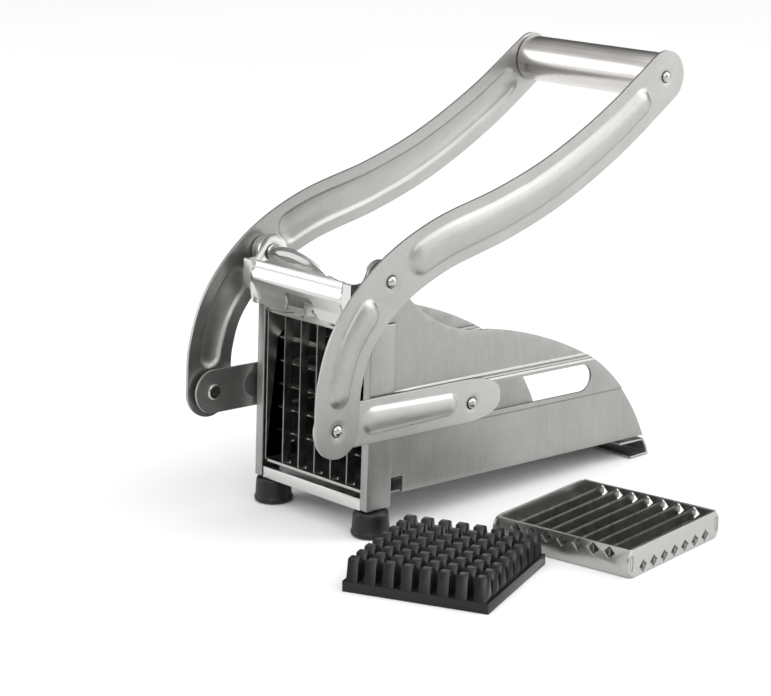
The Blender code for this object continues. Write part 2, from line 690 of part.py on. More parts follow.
def make_grid(prefix, count, pitch, thickness, matrix, parent):
    """Cartridge of crossing blades: one layer each way, blade tails showing in diamond holes."""
    first_plate = end_plate(-CART_HALF, -CART_HALF + CART_SHEET)
    first_plate.transform(matrix)
    frame = add(prefix + "_frame", first_plate, BLADE, parent)
    second_plate = end_plate(CART_HALF - CART_SHEET, CART_HALF)
    inner = CART_HALF - CART_SHEET / 2
    cross_plates = []
    for x in (-CROSS_HALF, CROSS_HALF):
        cross_plates.append(box((x - CART_SHEET / 2, -inner, 0.2 * MM),
                                (x + CART_SHEET / 2, inner, CART_DEPTH - 0.2 * MM)))
    for index, guide in enumerate([*cross_plates, second_plate]):
        guide.transform(matrix)
        cutter("%s_plate_guide_%d" % (prefix, index + 1), guide, frame, "UNION")
    reaches = {"a": CART_HALF, "b": CROSS_HALF + CART_SHEET / 2}
    layers = (("a", 1.0 * MM), ("b", CART_DEPTH - 1.0 * MM - BLADE_W))
    for layer, low in layers:
        for index, place in enumerate(centred(count, pitch)):
            blade = blade_mesh(place, low, thickness, reaches[layer])
            turn = Matrix.Rotation(math.pi / 2, 4, "Z") if layer == "b" else Matrix.Identity(4)
            blade.transform(matrix @ turn)
            add("%s_blade_%s%d" % (prefix, layer, index + 1), blade, BLADE, parent)
            holes = diamond_bar(place, low + BLADE_W / 2, 3.2 * MM)
            holes.transform(matrix @ turn)
            cutter("%s_hole_cutter_%s%d" % (prefix, layer, index + 1), holes, frame)
    return frame


def diamond_bar(x, z, half):
    """A diamond-section bar through both opposite plates of the ring."""
    reach = CART_HALF + 2 * MM
    return plate([(x - half, z), (x, z - half), (x + half, z), (x, z + half)], -reach, reach)


def blade_mesh(x, low, thickness, reach):
    """Blade strip with a narrow tail at each end that passes into the plate's diamond hole."""
    inner = reach - CART_SHEET - GAP
    outer = reach - 0.2 * MM
    middle = low + BLADE_W / 2
    tail = 1.5 * MM
    outline = [(-inner, low), (inner, low), (inner, middle - tail), (outer, middle - tail),
               (outer, middle + tail), (inner, middle + tail), (inner, low + BLADE_W),
               (-inner, low + BLADE_W), (-inner, middle + tail), (-outer, middle + tail),
               (-outer, middle - tail), (-inner, middle - tail)]
    made = bmesh.new()
    left = [made.verts.new((x - thickness / 2, y, z)) for y, z in outline]
    right = [made.verts.new((x + thickness / 2, y, z)) for y, z in outline]
    made.faces.new(left)
    made.faces.new(right)
    for i in range(len(outline)):
        j = (i + 1) % len(outline)
        made.faces.new((left[i], left[j], right[j], right[i]))
    return made


def make_fitted_grid():
    """The 6 x 6 cartridge stands on the sill behind the post lips, with its pull tab up."""
    matrix = Matrix(((0, 0, 1, CART_FRONT), (1, 0, 0, 0), (0, 1, 0, CART_MID_Z), (0, 0, 0, 1)))
    frame = make_grid("grid", 5, COARSE_PITCH, BLADE_T, matrix, BODY)
    top = CART_MID_Z + CART_HALF
    tab = box((CART_FRONT, -9.4 * MM, top - 0.6 * MM), (CART_FRONT + SHEET, 9.4 * MM, top + 8.0 * MM))
    cutter("grid_tab_guide", tab, frame, "UNION")
    slot = box((-1 * MM, -4.6 * MM, top + 3.4 * MM), (6 * MM, 4.6 * MM, top + 5.2 * MM))
    cutter("grid_tab_slot_cutter", slot, frame)


def floor_matrix(place, turn):
    """Body-frame matrix of something lying flat on the ground at a world (x, y) and turn."""
    world = Matrix.Translation((place[0], place[1], 0.0)) @ Matrix.Rotation(turn, 4, "Z")
    return body_matrix().inverted() @ world


def make_spares():
    pusher_frame = empty("spare_pusher_lift", Matrix.Translation((*SPARE_PUSHER_AT, 0.0)))
    made = pusher_mesh(8, FINE_PITCH, 5.0 * MM, 11.0 * MM)
    made.transform(floor_matrix(SPARE_PUSHER_AT, SPARE_PUSHER_TURN))
    add("spare_pusher_block", made, PLASTIC, pusher_frame)
    grid_place = empty("spare_grid_lift", Matrix.Translation((*SPARE_GRID_AT, 0.0)))
    make_grid("spare_grid", 7, FINE_PITCH, SPARE_BLADE_T, floor_matrix(SPARE_GRID_AT, SPARE_GRID_TURN),
              grid_place)


# ---------------------------------------------------------------- assembly

def joint_empty(name, point, parent):
    matrix = body_matrix() @ Matrix.Translation((point[0], 0.0, point[1]))
    return empty(name, matrix, parent)


clear_scene()
BODY = empty("body_frame", body_matrix())
lever = joint_empty("lever_swing", PIVOT, BODY)
links = joint_empty("link_swing", CRANK, lever)
slide = joint_empty("carriage_slide", SLIDER, BODY)
latch = joint_empty("retainer_swing", PIVOT, BODY)

SIDES = (("left", -1), ("right", 1))
for side_label, side_sign in SIDES:
    make_wall("wall_" + side_label, side_sign)
    make_post("front_post_" + side_label, side_sign)
    make_foot("front_foot_" + side_label, side_sign)
    make_stop("grid_stop_" + side_label, side_sign)
    make_pivot(side_label, side_sign)
    make_arm("lever_arm_" + side_label, side_sign, lever)
    make_crank_rivet(side_label, side_sign, lever)
    make_link(side_label, side_sign, links)
make_floor()
make_rear_foot()
make_sill()
make_handle(lever)
make_carriage(slide)
make_pusher(slide)
make_retainer(latch)
make_fitted_grid()
make_spares()
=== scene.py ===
"""Looks of the lever-operated vegetable dicer: sheet, rivets, blades, materials, light, camera.

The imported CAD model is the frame. Pieces are drawn in the dicer's own body frame (x to the rear,
z up from the floor pan, metres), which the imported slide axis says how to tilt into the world.
"""
import json
import math

import bmesh
import bpy
from mathutils import Matrix, Vector


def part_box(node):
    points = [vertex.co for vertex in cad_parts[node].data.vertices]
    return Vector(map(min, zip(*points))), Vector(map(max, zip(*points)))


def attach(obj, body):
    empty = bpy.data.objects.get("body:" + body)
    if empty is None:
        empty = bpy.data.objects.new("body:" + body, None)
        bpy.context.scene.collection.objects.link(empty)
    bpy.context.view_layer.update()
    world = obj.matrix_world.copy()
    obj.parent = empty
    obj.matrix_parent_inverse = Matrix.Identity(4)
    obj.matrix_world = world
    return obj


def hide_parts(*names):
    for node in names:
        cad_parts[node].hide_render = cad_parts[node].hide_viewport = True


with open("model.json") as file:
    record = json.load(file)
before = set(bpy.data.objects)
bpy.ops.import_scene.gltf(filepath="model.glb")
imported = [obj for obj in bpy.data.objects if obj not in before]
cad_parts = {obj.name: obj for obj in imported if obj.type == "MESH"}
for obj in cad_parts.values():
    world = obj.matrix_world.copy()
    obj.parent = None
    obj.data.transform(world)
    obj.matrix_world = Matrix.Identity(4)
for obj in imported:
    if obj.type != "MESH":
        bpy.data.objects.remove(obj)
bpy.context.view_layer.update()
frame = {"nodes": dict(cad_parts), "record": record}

MM = 0.001
SIDES = (("left", -1), ("right", 1))

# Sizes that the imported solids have, in the body frame
REAR_FOOT_AT = Vector((199.5, 0.0, -0.306)) * MM
WALL_IN, WALL_OUT, BAND_OUT = 39.8 * MM, 41.0 * MM, 42.0 * MM
WALL_FRONT, WALL_BOTTOM, WALL_TAIL = 16.3 * MM, 11.0 * MM, 202.0 * MM
BAND_LOW, BAND_HIGH = 40.0 * MM, 61.5 * MM
SLOT_Z, SLOT_R, SLOT_FRONT, SLOT_REAR = 50.2 * MM, 7.3 * MM, 43.5 * MM, 149.7 * MM
ARM_IN, ARM_OUT, ARM_HALF = 47.3 * MM, 48.8 * MM, 13.6 * MM
LINK_IN, LINK_OUT, LINK_HALF = 43.6 * MM, 44.8 * MM, 11.0 * MM
RETAINER_IN, RETAINER_OUT = 38.3 * MM, 39.49 * MM
CART_DEPTH, CART_CROSS_AT, CART_PLATE_AT = 14.0 * MM, 36.7 * MM, 39.3 * MM
HOLE_R = 3.3 * MM
PIN_R = 2.9 * MM
PIN_BASE = ARM_OUT - 0.1 * MM
HEAD_R = 4.1 * MM
DOME_HIGH = 1.9 * MM

# Spans in Y that a cutting prism needs to pass right through a sheet
THROUGH_WALL = (30 * MM, 50 * MM)
THROUGH_LINK = (40 * MM, 50 * MM)
THROUGH_ARM = (40 * MM, 56 * MM)
THROUGH_BOTH = (-50 * MM, 50 * MM)

# Edges sharper than the first are shaded sharp; a bevel rounds those sharper than the second
SHARP_ANGLE = math.radians(30.0)
BEVEL_ANGLE = math.radians(52.0)


# ---------------------------------------------------------------- frame

def joint(name):
    """A joint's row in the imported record."""
    return next(j for j in frame["record"]["behaviour"]["joints"] if j["name"] == name)


SLIDE_AXIS = joint("carriage_slide")["axis"]
TILT = math.atan2(-SLIDE_AXIS[2], SLIDE_AXIS[0])
BODY = Matrix.Rotation(TILT, 4, "Y") @ Matrix.Translation(-REAR_FOOT_AT)


def in_body(point):
    """A world point in the body frame."""
    return BODY.inverted() @ Vector(point)


PIVOT = in_body(joint("lever_swing")["pos_m"])
CRANK = in_body(joint("link_swing")["pos_m"])
SLIDER = Vector((66.7 * MM, 0.0, SLOT_Z))
GRIP = Vector((195.3 * MM, 0.0, 205.2 * MM))


# ---------------------------------------------------------------- node materials

# Span of a noise's values that carries its light and dark
NOISE_LOW, NOISE_HIGH = 0.3, 0.7
# Grain of the sheet: lines per metre across the brushing, and along it
ACROSS, ALONG = 2200.0, 110.0
# How much wider the streaks in brushed sheet are than its fine lines
STREAK_WIDTH = 9


def nodes_of(name):
    """A new material with its node tree and its shader."""
    made = bpy.data.materials.new(name)
    made.use_nodes = True
    tree = made.node_tree
    return made, tree, tree.nodes["Principled BSDF"]


def mapped(tree, source, scale):
    """Object or UV coordinates, stretched."""
    coords = tree.nodes.new("ShaderNodeTexCoord")
    stretch = tree.nodes.new("ShaderNodeMapping")
    stretch.inputs["Scale"].default_value = scale
    tree.links.new(coords.outputs[source], stretch.inputs["Vector"])
    return stretch.outputs["Vector"]


def noise(tree, source, scale, detail, roughness=0.55):
    """Noise over coordinates that the scale stretches, in cells per metre along each axis."""
    node = tree.nodes.new("ShaderNodeTexNoise")
    node.inputs["Scale"].default_value = 1.0
    node.inputs["Detail"].default_value = detail
    node.inputs["Roughness"].default_value = roughness
    tree.links.new(mapped(tree, source, scale), node.inputs["Vector"])
    return node.outputs["Fac"]


def ramp(tree, value, low, high):
    """Map the span that a noise uses to low..high."""
    node = tree.nodes.new("ShaderNodeMapRange")
    node.inputs["From Min"].default_value = NOISE_LOW
    node.inputs["From Max"].default_value = NOISE_HIGH
    node.inputs["To Min"].default_value = low
    node.inputs["To Max"].default_value = high
    tree.links.new(value, node.inputs["Value"])
    return node.outputs["Result"]


def tint(tree, value, dark, light):
    """Colour from dark to light over the span that a noise uses."""
    node = tree.nodes.new("ShaderNodeValToRGB")
    node.color_ramp.elements[0].position = NOISE_LOW
    node.color_ramp.elements[0].color = (*dark, 1.0)
    node.color_ramp.elements[1].position = NOISE_HIGH
    node.color_ramp.elements[1].color = (*light, 1.0)
    tree.links.new(value, node.inputs["Fac"])
    return node.outputs["Color"]


def bump(tree, shader, height, strength, distance):
    """Let a noise raise the surface by up to a distance in metres."""
    node = tree.nodes.new("ShaderNodeBump")
    node.inputs["Strength"].default_value = strength
    node.inputs["Distance"].default_value = distance
    tree.links.new(height, node.inputs["Height"])
    tree.links.new(node.outputs["Normal"], shader.inputs["Normal"])


def blend(tree, share, first, second):
    """Mix two grey values; share is the second one's part."""
    mix = tree.nodes.new("ShaderNodeMix")
    mix.inputs["Factor"].default_value = share
    tree.links.new(first, mix.inputs["A"])
    tree.links.new(second, mix.inputs["B"])
    return mix.outputs["Result"]


def brushed(name, source, grain, dark, light, rough, relief):
    """Stainless sheet: fine brushing along one direction, broader streaks in it, cloudy wear."""
    made, tree, shader = nodes_of(name)
    lines = noise(tree, source, grain, detail=6.0, roughness=0.65)
    streaks = noise(tree, source, [value / STREAK_WIDTH for value in grain], detail=3.0)
    clouds = noise(tree, "Object", (48.0, 48.0, 48.0), detail=6.0, roughness=0.62)
    worn = blend(tree, 0.5, lines, blend(tree, 0.68, streaks, clouds))
    tree.links.new(tint(tree, worn, dark, light), shader.inputs["Base Color"])
    tree.links.new(ramp(tree, worn, *rough), shader.inputs["Roughness"])
    shader.inputs["Metallic"].default_value = 1.0
    bump(tree, shader, lines, relief, 0.05 * MM)
    return made


def polished(name, grain, dark, light, rough):
    """Smooth turned or ground steel with faint lines."""
    made, tree, shader = nodes_of(name)
    lines = noise(tree, "Object", grain, detail=5.0)
    tree.links.new(tint(tree, lines, dark, light), shader.inputs["Base Color"])
    tree.links.new(ramp(tree, lines, *rough), shader.inputs["Roughness"])
    shader.inputs["Metallic"].default_value = 1.0
    bump(tree, shader, lines, strength=0.04, distance=0.03 * MM)
    return made


def moulded(name, dark, light, rough, relief):
    """Black moulded plastic or rubber with a fine spark-eroded texture and faint flow marks."""
    made, tree, shader = nodes_of(name)
    shader.inputs["Specular IOR Level"].default_value = 0.32
    fine = noise(tree, "Object", (1400.0, 1400.0, 1400.0), detail=3.0)
    flow = noise(tree, "Object", (60.0, 60.0, 60.0), detail=3.0)
    tree.links.new(tint(tree, flow, dark, light), shader.inputs["Base Color"])
    tree.links.new(ramp(tree, flow, *rough), shader.inputs["Roughness"])
    bump(tree, shader, fine, relief, 0.1 * MM)
    return made


WALL_STEEL = brushed("wall_steel", "Object", (ACROSS, ACROSS, ALONG), dark=(0.27, 0.267, 0.258),
                     light=(0.40, 0.396, 0.385), rough=(0.33, 0.50), relief=0.06)
ARM_STEEL = brushed("arm_steel", "UV", (ALONG * 4, ACROSS, 1.0), dark=(0.32, 0.318, 0.308),
                    light=(0.45, 0.447, 0.436), rough=(0.33, 0.46), relief=0.07)
LINK_STEEL = brushed("link_steel", "Object", (ALONG * 2, ACROSS, ACROSS), dark=(0.40, 0.397, 0.386),
                     light=(0.54, 0.537, 0.525), rough=(0.35, 0.47), relief=0.06)
FLOOR_STEEL = brushed("floor_steel", "Object", (ALONG, ACROSS, ACROSS), dark=(0.34, 0.337, 0.33),
                      light=(0.43, 0.427, 0.418), rough=(0.28, 0.40), relief=0.04)
FRONT_STEEL = brushed("front_steel", "Object", (ACROSS, ALONG, ACROSS), dark=(0.56, 0.555, 0.545),
                      light=(0.66, 0.655, 0.645), rough=(0.17, 0.26), relief=0.03)
CARTRIDGE_STEEL = brushed("cartridge_steel", "Object", (ALONG * 6, ALONG * 6, ALONG * 6),
                          dark=(0.42, 0.417, 0.40), light=(0.50, 0.497, 0.48), rough=(0.26, 0.36),
                          relief=0.03)
TUBE_STEEL = polished("tube_steel", (1500, 25, 1500), dark=(0.60, 0.58, 0.56),
                      light=(0.70, 0.68, 0.66), rough=(0.25, 0.34))
RIVET_STEEL = polished("rivet_steel", (700, 700, 700), dark=(0.40, 0.39, 0.38),
                       light=(0.52, 0.51, 0.50), rough=(0.18, 0.30))
BLADE_STEEL = polished("blade_steel", (250, 250, 250), dark=(0.20, 0.195, 0.186),
                       light=(0.28, 0.274, 0.263), rough=(0.30, 0.40))
GROUND_EDGE = polished("ground_edge", (900, 900, 900), dark=(0.70, 0.695, 0.68),
                       light=(0.82, 0.815, 0.80), rough=(0.42, 0.55))
BUSH_STEEL = polished("bush_steel", (500, 900, 500), dark=(0.40, 0.40, 0.40),
                      light=(0.52, 0.52, 0.51), rough=(0.28, 0.42))
BLACK_PLASTIC = moulded("black_plastic", dark=(0.004, 0.004, 0.0044), light=(0.009, 0.009, 0.0096),
                        rough=(0.20, 0.30), relief=0.12)
BLACK_RUBBER = moulded("black_rubber", dark=(0.006, 0.006, 0.007), light=(0.012, 0.012, 0.013),
                       rough=(0.30, 0.44), relief=0.22)


# ---------------------------------------------------------------- mesh helpers

def piece(name, made, look, body, replaced, bevel=0.0):
    """Finish a bmesh drawn in the body frame: into the world, onto its body, over its CAD nodes."""
    bmesh.ops.remove_doubles(made, verts=made.verts, dist=1e-7)
    bmesh.ops.recalc_face_normals(made, faces=made.faces)
    made.transform(BODY)
    item = object_of(name, made)
    if bevel:
        add_bevel(item, bevel)
    finish_piece(item, look, body, replaced)


def finish_piece(item, look, body, replaced):
    """Material and shading of a piece, its moving body and the CAD nodes it covers."""
    item.data.materials.clear()
    item.data.materials.append(look)
    item.data.shade_smooth()
    item.data.set_sharp_from_angle(angle=SHARP_ANGLE)
    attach(item, body)
    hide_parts(*replaced)


def object_of(name, made):
    """Turn a bmesh into an object of the scene."""
    mesh = bpy.data.meshes.new(name)
    made.to_mesh(mesh)
    made.free()
    item = bpy.data.objects.new(name, mesh)
    bpy.context.collection.objects.link(item)
    return item


def add_bevel(item, width, segments=2):
    """Round the sharper edges and bake the modifier into the mesh."""
    modifier = item.modifiers.new("edge_round", "BEVEL")
    modifier.width = width
    modifier.segments = segments
    modifier.limit_method = "ANGLE"
    modifier.angle_limit = BEVEL_ANGLE
    modifier.harden_normals = False
    modifier.use_clamp_overlap = True
    bake(item)


def bake(item):
    """Replace an object's mesh by what its modifiers make of it."""
    graph = bpy.context.evaluated_depsgraph_get()
    graph.update()
    baked = bpy.data.meshes.new_from_object(item.evaluated_get(graph))
    item.modifiers.clear()
    item.data = baked


def boolean(item, tool_mesh, operation="DIFFERENCE"):
    """Cut or add a bmesh that is drawn in the same frame as item, then bake the result."""
    tool = draft(tool_mesh)
    tool.matrix_world = item.matrix_world
    modifier = item.modifiers.new("cut", "BOOLEAN")
    modifier.operation = operation
    modifier.solver = "EXACT"
    modifier.object = tool
    bake(item)
    bpy.data.objects.remove(tool, do_unlink=True)


def draft(made):
    """A loose object for a bmesh, to cut with or to be cut before it becomes a piece."""
    bmesh.ops.recalc_face_normals(made, faces=made.faces)
    return object_of("draft", made)


def undraft(item):
    """Take a draft's mesh back as a bmesh and remove the object."""
    made = bmesh.new()
    made.from_mesh(item.data)
    bpy.data.objects.remove(item, do_unlink=True)
    return made


def ring_points(x, z, radius, sides=48, start=0.0, sweep=2 * math.pi, closed=False):
    """Points round a circle or an arc; closed adds the arc's last point."""
    count = sides + 1 if closed else sides
    return [(x + radius * math.cos(start + sweep * i / sides),
             z + radius * math.sin(start + sweep * i / sides)) for i in range(count)]


def arc_through(first, middle, last, sides):
    """Points on the circle through three points, from first to last."""
    a, b, c = Vector(first), Vector(middle), Vector(last)
    ab, ac = b - a, c - a
    cross = 2 * (ab.x * ac.y - ab.y * ac.x)
    centre = a + Vector((ac.y * ab.length_squared - ab.y * ac.length_squared,
                         ab.x * ac.length_squared - ac.x * ab.length_squared)) / cross
    start = math.atan2(a.y - centre.y, a.x - centre.x)
    sweep = math.atan2(c.y - centre.y, c.x - centre.x) - start
    if cross < 0 and sweep > 0:
        sweep -= 2 * math.pi
    if cross > 0 and sweep < 0:
        sweep += 2 * math.pi
    return ring_points(centre.x, centre.y, (a - centre).length, sides, start, sweep, closed=True)


def prism(outline, low, high, axis="Y"):
    """Extrude an outline: (x, z) along Y, or (y, z) along X."""
    made = bmesh.new()

    def corner(u, v, w):
        return (u, w, v) if axis == "Y" else (w, u, v)

    bottom = [made.verts.new(corner(u, v, low)) for u, v in outline]
    top = [made.verts.new(corner(u, v, high)) for u, v in outline]
    made.faces.new(bottom)
    made.faces.new(reversed(top))
    for i in range(len(outline)):
        j = (i + 1) % len(outline)
        made.faces.new((bottom[i], top[i], top[j], bottom[j]))
    return made


def turned(profile, x, z, side, sides=48):
    """Turn a (radius, y) profile about Y at (x, z); side mirrors it to the left."""
    made = bmesh.new()
    rings = []
    for radius, y in profile:
        points = ring_points(x, z, radius, sides) if radius > 1e-7 else [(x, z)]
        rings.append([made.verts.new((px, side * y, pz)) for px, pz in points])
    join_rings(made, rings, sides)
    for cap in (rings[0], rings[-1]):
        if len(cap) > 1:
            made.faces.new(cap)
    return made


def join_rings(made, rings, sides):
    """Faces between neighbouring rings of vertices, where a ring may be a single point."""
    for low, high in zip(rings, rings[1:]):
        for i in range(sides):
            j = (i + 1) % sides
            corners = [low[i % len(low)], low[j % len(low)], high[j % len(high)], high[i % len(high)]]
            made.faces.new(list(dict.fromkeys(corners)))


def hollow_turned(profile, x, z, side, sides=48):
    """Turn a closed (radius, y) loop about Y, for a ring or a tube."""
    made = bmesh.new()
    rings = [[made.verts.new((px, side * y, pz)) for px, pz in ring_points(x, z, radius, sides)]
             for radius, y in profile]
    for k in range(len(rings)):
        low, high = rings[k], rings[(k + 1) % len(rings)]
        for i in range(sides):
            j = (i + 1) % sides
            made.faces.new((low[i], low[j], high[j], high[i]))
    return made


def smooth(value):
    """Soft step from 0 to 1."""
    value = min(1.0, max(0.0, value))
    return value * value * (3 - 2 * value)


def ridge(distance, width):
    """Bell curve: 1 on its line, falling off over its width."""
    return math.exp(-(distance / width) ** 2)


def sheet_grid(us, vs, surface, thickness, axis="Y"):
    """A closed pressed sheet: surface(u, v) is one face's height, thickness the sheet behind it."""
    made = bmesh.new()
    layers = []
    for offset in (0.0, thickness):
        rows = []
        for u in us:
            row = []
            for v in vs:
                height = surface(u, v) + offset
                row.append(made.verts.new((u, height, v) if axis == "Y" else (height, u, v)))
            rows.append(row)
        layers.append(rows)
    skin(made, layers)
    return made


def skin(made, layers):
    """Faces over two grids of vertices and round their rim."""
    low, high = layers
    nu, nv = len(low) - 1, len(low[0]) - 1
    for i in range(nu):
        for j in range(nv):
            for rows in layers:
                made.faces.new((rows[i][j], rows[i + 1][j], rows[i + 1][j + 1], rows[i][j + 1]))
        for j in (0, nv):
            made.faces.new((low[i][j], low[i + 1][j], high[i + 1][j], high[i][j]))
    for j in range(nv):
        for i in (0, nu):
            made.faces.new((low[i][j], low[i][j + 1], high[i][j + 1], high[i][j]))


def steps(low, high, step):
    """Even grid lines from low to high, about a step apart."""
    count = max(1, round((high - low) / step))
    return [low + (high - low) * i / count for i in range(count + 1)]


def cad_mesh(node):
    """A CAD solid's faces as a bmesh in the world, its triangles merged into flat faces again."""
    source = frame["nodes"][node]
    made = bmesh.new()
    made.from_mesh(source.data)
    made.transform(source.matrix_world)
    bmesh.ops.remove_doubles(made, verts=made.verts, dist=1e-6)
    bmesh.ops.dissolve_limit(made, angle_limit=math.radians(1.0), verts=made.verts, edges=made.edges)
    return made


def refined(node, look, body, bevel, segments=2, cuts=()):
    """The CAD solid with cut details and rounded edges: a new piece over the node."""
    item = object_of(node + "_fine", cad_mesh(node))
    for operation, tool in cuts:
        boolean(item, tool, operation)
    add_bevel(item, bevel, segments)
    finish_piece(item, look, body, (node,))


# ---------------------------------------------------------------- side walls

def wall_outline():
    """Side wall in (x, z): pivot ear at the front top, long falling top edge, round tail."""
    ear_r, notch_x, notch_z, shoulder = 9.0 * MM, 24.3 * MM, 19.4 * MM, 97.3 * MM
    crest, hip = (80 * MM, 85.5 * MM), (156 * MM, 61.3 * MM)
    ear_rear = ring_points(PIVOT.x, PIVOT.z, ear_r, 30, math.pi, -math.pi, closed=True)
    falling = arc_through((PIVOT.x + ear_r, PIVOT.z), (35.6 * MM, 99.3 * MM), crest, 36)
    brow = arc_through(crest, (120 * MM, 76.2 * MM), hip, 28)
    tail = arc_through(hip, (183.5 * MM, 38.8 * MM), (WALL_TAIL, WALL_BOTTOM), 30)
    points = [(notch_x, WALL_BOTTOM), (notch_x, notch_z), (WALL_FRONT, notch_z)]
    points += [(WALL_FRONT, shoulder), (PIVOT.x - ear_r, shoulder)]
    return points + ear_rear + falling[1:] + brow[1:] + tail[1:]


def slot_outline():
    """The slot that the slider runs in, in (x, z)."""
    rear = ring_points(SLOT_REAR, SLOT_Z, SLOT_R, 24, -math.pi / 2, math.pi, closed=True)
    front = ring_points(SLOT_FRONT, SLOT_Z, SLOT_R, 24, math.pi / 2, math.pi, closed=True)
    return rear + front


def band_rise(x, z):
    """How far the guide band stands out: a step with a bead and a groove above, a plain one below."""
    full = BAND_OUT - WALL_OUT
    upper = smooth((BAND_HIGH - z) / (1.0 * MM))
    lower = smooth((z - BAND_LOW + 0.6 * MM) / (1.2 * MM))
    behind_post = smooth((x - 18 * MM) / (3 * MM))
    bead_above = 0.80 * MM * ridge(z - BAND_HIGH - 0.75 * MM, 0.62 * MM)
    groove = 0.60 * MM * ridge(z - BAND_HIGH + 1.6 * MM, 0.55 * MM)
    return min(full, full * upper * lower + bead_above * behind_post) - groove * behind_post


def fine_lines(low, high, coarse, fine, centres, reach):
    """Grid lines from low to high, closer together within a reach of the creases."""
    lines = set(steps(low, high, coarse))
    for centre in centres:
        lines |= {v for v in steps(centre - reach, centre + reach, fine) if low < v < high}
    ordered = sorted(lines)
    kept = [ordered[0]]
    for value in ordered[1:]:
        if value - kept[-1] > fine * 0.6:
            kept.append(value)
    return kept


def make_wall(label, side):
    """Pressed side wall with its guide band, slot and pivot hole."""
    xs = steps(-5 * MM, 205 * MM, 6 * MM)
    zs = fine_lines(9 * MM, 131 * MM, 6 * MM, 0.22 * MM, (BAND_LOW, BAND_HIGH), 3.3 * MM)
    made = sheet_grid(xs, zs, lambda x, z: WALL_IN + band_rise(x, z), WALL_OUT - WALL_IN)
    wall = draft(made)
    boolean(wall, prism(wall_outline(), *THROUGH_WALL), "INTERSECT")
    boolean(wall, prism(slot_outline(), *THROUGH_WALL))
    boolean(wall, prism(ring_points(PIVOT.x, PIVOT.z, HOLE_R), *THROUGH_WALL))
    made = undraft(wall)
    mirror_to(made, side)
    node = "wall_" + label
    piece(node + "_sheet", made, WALL_STEEL, "root", (node,), bevel=0.22 * MM)


def mirror_to(made, side):
    """Mirror a right-hand part to the left where the side asks for it."""
    if side < 0:
        bmesh.ops.scale(made, vec=(1, -1, 1), verts=made.verts)
        bmesh.ops.reverse_faces(made, faces=made.faces)


# ---------------------------------------------------------------- lever

# Arm's centre line in (x, z), millimetres, from the crank over the pivot to the grip
ARM_LINE = [(-26.4, 51.6), (-25.2, 74.0), (-16.5, 96.5), (5.0, 118.0), (36.5, 133.6), (80.4, 145.4),
            (118.0, 159.2), (158.0, 180.2), (195.3, 205.2)]


def arm_spine(count):
    """A Catmull-Rom curve through the arm's own points."""
    points = [Vector((x * MM, z * MM)) for x, z in ARM_LINE]
    ends = [2 * points[0] - points[1]] + points + [2 * points[-1] - points[-2]]
    curve = []
    for k in range(1, len(ends) - 2):
        p0, p1, p2, p3 = ends[k - 1:k + 3]
        for i in range(count):
            t = i / count
            curve.append(0.5 * (2 * p1 + (p2 - p0) * t + (2 * p0 - 5 * p1 + 4 * p2 - p3) * t * t
                                + (3 * p1 - p0 - 3 * p2 + p3) * t ** 3))
    return curve + [ends[-2]]


def long_bead(s, offset, start, end, half, height, taper):
    """Pressed bead between two stations: crowned top, firm edges, round ends, narrower far end."""
    edge, crown_fall = 1.9 * MM, 0.76
    along = max(start - s, 0.0, s - end)
    share = min(1.0, max(0.0, (s - start) / (end - start)))
    width = half - taper * share
    distance = math.hypot(along, offset)
    crown = 1.0 - crown_fall * min(1.0, distance / width) ** 2
    return height * crown * smooth((width - distance) / edge)


def dimple(distance, radius, depth):
    """Round hollow with a soft edge."""
    return -depth * smooth((radius - distance) / (0.45 * radius))


def arm_surface(s, offset, pivot_s, length):
    """Height pressed into an arm: a rib on each side of the pivot, a dimple round each pin."""
    rise = long_bead(s, offset, pivot_s + 21.6 * MM, length - 22.4 * MM,
                     half=8.8 * MM, height=2.4 * MM, taper=1.4 * MM)
    rise += long_bead(pivot_s - s, offset, 21.2 * MM, pivot_s - 17.8 * MM,
                      half=8.0 * MM, height=2.3 * MM, taper=1.2 * MM)
    for centre in (0.0, pivot_s, length):
        rise += dimple(math.hypot(s - centre, offset), radius=5.6 * MM, depth=0.28 * MM)
    return rise


def across_arm(count):
    """Shares of the half width from -1 to 1, somewhat closer together near the edges."""
    even = [-1 + 2 * k / count for k in range(count + 1)]
    return [math.sin(math.pi / 2 * share) * 0.35 + 0.65 * share for share in even]


def make_arm(label, side):
    """S-shaped arm: one strip along its spine, with round ends, pressed ribs and rivet dimples."""
    spine = arm_spine(26)
    stations = [0.0]
    for a, b in zip(spine, spine[1:]):
        stations.append(stations[-1] + (b - a).length)
    length = stations[-1]
    pivot = Vector((PIVOT.x, PIVOT.z))
    pivot_s = min(zip(stations, spine), key=lambda pair: (pair[1] - pivot).length)[0]
    rows = arm_rows(spine, stations, length)
    across = across_arm(44)
    made = bmesh.new()
    uv_layer = made.loops.layers.uv.new("UVMap")
    layers = []
    places = {}
    for base in (ARM_IN, ARM_OUT):
        grid = []
        for s, point, normal, half in rows:
            row = []
            for t in across:
                flat = point + normal * half * t
                rise = arm_surface(s, half * t, pivot_s, length)
                vert = made.verts.new((flat.x, base + rise, flat.y))
                places[vert] = (s, half * t)
                row.append(vert)
            grid.append(row)
        layers.append(grid)
    skin(made, layers)
    for face in made.faces:
        for loop in face.loops:
            s, offset = places[loop.vert]
            loop[uv_layer].uv = (s, offset)
    arm = draft(made)
    for centre in (PIVOT, CRANK, GRIP):
        boolean(arm, prism(ring_points(centre.x, centre.z, HOLE_R), *THROUGH_ARM))
    made = undraft(arm)
    mirror_to(made, side)
    node = "lever_arm_" + label
    piece(node + "_sheet", made, ARM_STEEL, "lever", (node,), bevel=0.28 * MM)


